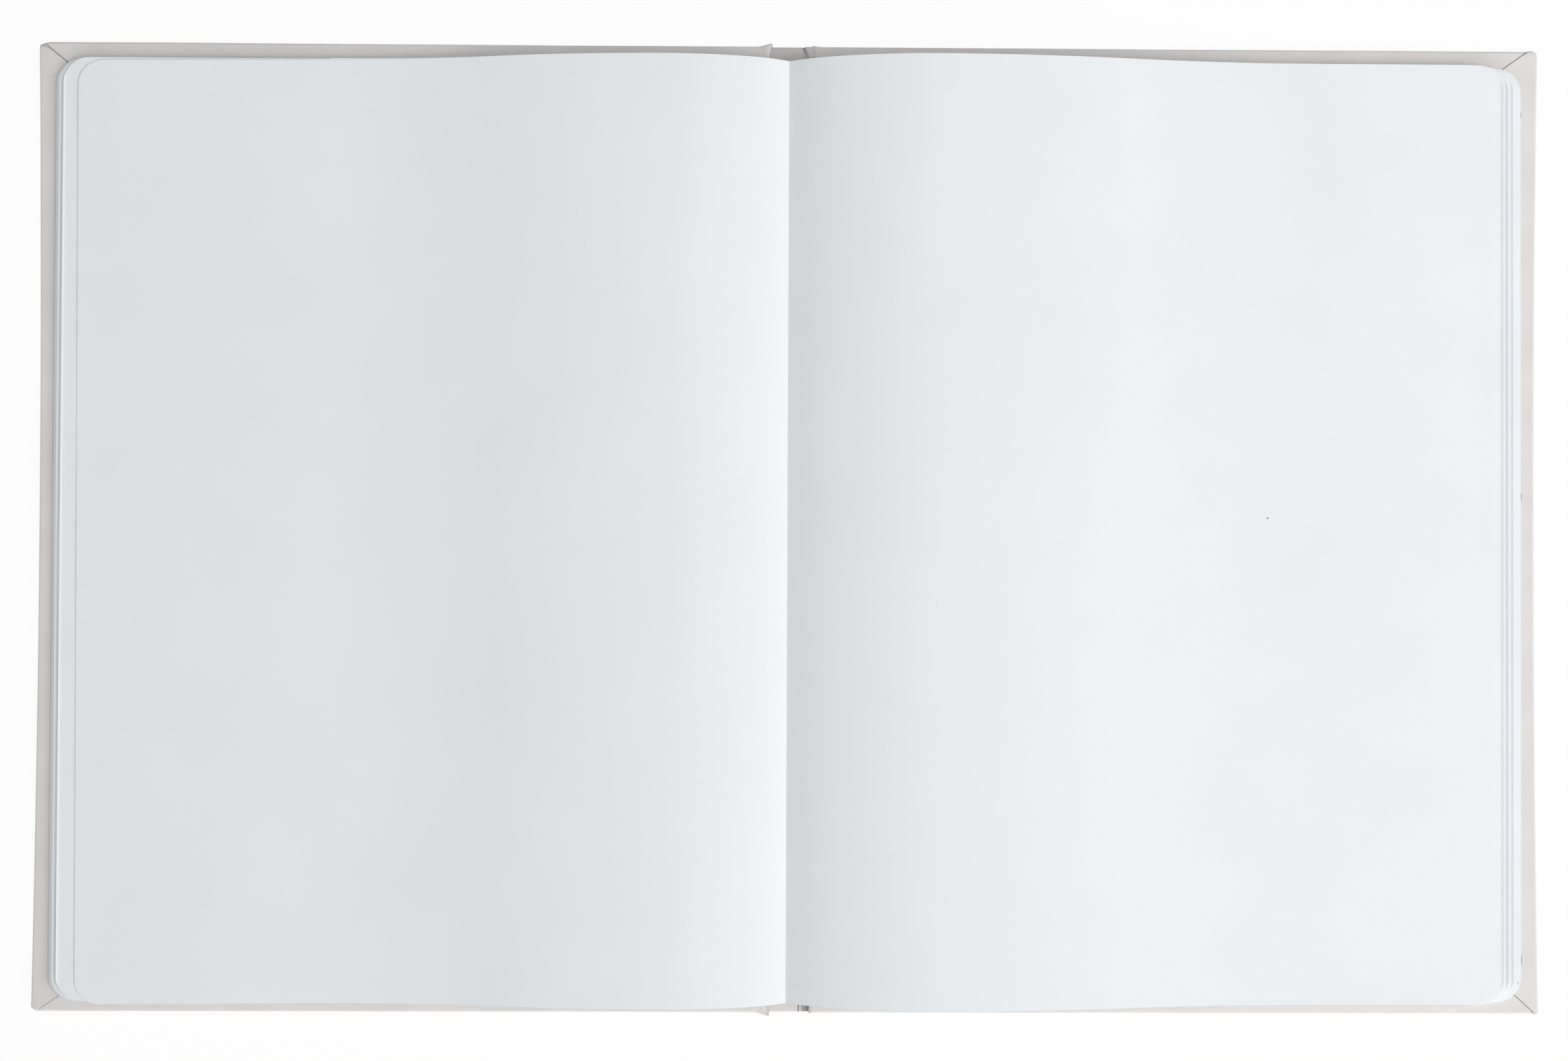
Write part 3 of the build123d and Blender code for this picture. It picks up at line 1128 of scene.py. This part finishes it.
def place_half(side):
    """Makes one half of the notebook, fixes its pieces to the bodies they ride on, and hides the solids
    that they replace.
    """
    half = HALF[side]
    body = BODY[side]
    thickness, groups, shape, crest_top = STACKS[side]
    height = page_arch(flyleaf_top + thickness, crest_top, shape, GUTTER_AT[side])
    foot_at = shape["foot_at"]
    leaves = ARCH_LEAVES[side]

    wrap = cover_wrap(f"{half}_cover_wrap", side, CORNER_FOLDS[side], JOINT_EARS[side])
    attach(wrap, body)
    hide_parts(f"{half}_covering")

    papers = endpapers(f"{half}_endpapers", side, ENDPAPER_INSETS[side])
    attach(papers, body)
    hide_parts(f"{half}_endpaper")

    pile = page_pile(f"{half}_page_pile", side, thickness, groups)
    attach(pile, body)

    name = f"{half}_raised_leaves"
    raised = raised_leaves(name, side, thickness, height, foot_at, leaves, *TOP_LEAF[side])
    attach(raised, body)
    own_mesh(raised)

    pile_roots, arch_roots = gutter_leaves(half, side, thickness, groups, height, leaves)
    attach(pile_roots, body)
    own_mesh(pile_roots)
    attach(arch_roots, "spine")
    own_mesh(arch_roots)

    for piece in (pile, raised, pile_roots, arch_roots):
        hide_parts(f"{half}_pages")

    strip = spine_strip(f"{half}_spine_strip", side, JOINT_DIPS[side], SPINE_CREASES[side])
    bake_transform(strip)
    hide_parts("spine_covering")


for side in (FRONT, BACK):
    place_half(side)

for node in ("front_board", "back_board", "spine_board"):
    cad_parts[node].data.materials[0] = board_grey
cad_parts["spine_lining"].data.materials[0] = gauze


# Floor, light and camera
WHITE = (1, 1, 1, 1)
FLOOR_SIZE = 12.0
FLOOR_DROP = 0.00005
FLOOR_COLOUR = (0.9, 0.9, 0.9, 1)
FLOOR_WHITENESS = 0.93
AMBIENT = 0.33
TAIL_GLOW = 1.165
CAMERA_PLACE = (-0.00638, -0.00705, 0.49965)
CAMERA_TURN = (0.01283, -0.01005, 0.00420)
CAMERA_LENS = 44.12
KEY_PLACE = (0.9, -0.1, 0.95)
KEY_SIZE = 0.9
KEY_POWER = 9.4


def seen_directly(tree):
    """1 for rays from the camera and for reflections and refractions, 0 for light on the object."""
    path = add_node(tree, "ShaderNodeLightPath")
    seen = add_math(tree, "MAXIMUM", path.outputs["Is Camera Ray"], path.outputs["Is Glossy Ray"])
    return add_math(tree, "MAXIMUM", seen, path.outputs["Is Transmission Ray"])


def mix_shaders(tree, share, first, second):
    """A shader between two others."""
    shaders = {0: share, 1: first.outputs[0], 2: second.outputs[0]}
    return add_node(tree, "ShaderNodeMixShader", shaders).outputs[0]


def white_floor():
    """A wide white floor that keeps a soft shadow."""
    built = bmesh.new()
    bmesh.ops.create_grid(built, x_segments=1, y_segments=1, size=FLOOR_SIZE / 2)
    mesh = bpy.data.meshes.new("floor")
    built.to_mesh(mesh)
    built.free()
    floor = bpy.data.objects.new("floor", mesh)
    floor.location.z = -FLOOR_DROP
    bpy.context.scene.collection.objects.link(floor)
    material = bpy.data.materials.new("floor_white")
    material.use_nodes = True
    tree = material.node_tree
    tree.nodes.clear()
    matt = add_node(tree, "ShaderNodeBsdfDiffuse", {"Color": FLOOR_COLOUR})
    glow = add_node(tree, "ShaderNodeEmission", {"Color": WHITE, "Strength": 1.0})
    share = add_math(tree, "MULTIPLY", seen_directly(tree), FLOOR_WHITENESS)
    add_node(tree, "ShaderNodeOutputMaterial", {"Surface": mix_shaders(tree, share, matt, glow)})
    mesh.materials.append(material)


def white_world():
    """Soft light from all round, stronger from the tail, with white behind it."""
    world = bpy.data.worlds.new("studio")
    world.use_nodes = True
    tree = world.node_tree
    tree.nodes.clear()
    coordinates = add_node(tree, "ShaderNodeTexCoord")
    direction = add_node(tree, "ShaderNodeSeparateXYZ", {0: coordinates.outputs["Generated"]})
    from_tail = add_math(tree, "MULTIPLY", direction.outputs["Y"], -TAIL_GLOW)
    strength = add_math(tree, "ADD", add_math(tree, "MAXIMUM", from_tail, 0.0), AMBIENT)
    ambient = add_node(tree, "ShaderNodeBackground", {"Color": WHITE, "Strength": strength})
    behind = add_node(tree, "ShaderNodeBackground", {"Color": WHITE, "Strength": 1.0})
    mixed = mix_shaders(tree, seen_directly(tree), ambient, behind)
    add_node(tree, "ShaderNodeOutputWorld", {"Surface": mixed})
    bpy.context.scene.world = world


def key_light():
    """A square softbox aimed at the middle of the notebook."""
    data = bpy.data.lights.new("key", "AREA")
    data.size = KEY_SIZE
    data.energy = KEY_POWER
    light = bpy.data.objects.new("key", data)
    light.location = KEY_PLACE
    light.rotation_euler = (-Vector(KEY_PLACE)).to_track_quat("-Z", "Y").to_euler()
    bpy.context.scene.collection.objects.link(light)


def overhead_camera():
    """The camera above the spread."""
    data = bpy.data.cameras.new("camera")
    data.lens = CAMERA_LENS
    camera = bpy.data.objects.new("camera", data)
    camera.location = CAMERA_PLACE
    camera.rotation_euler = CAMERA_TURN
    bpy.context.scene.collection.objects.link(camera)
    bpy.context.scene.camera = camera


white_floor()
white_world()
key_light()
overhead_camera()
bpy.context.scene.view_settings.view_transform = "Standard"
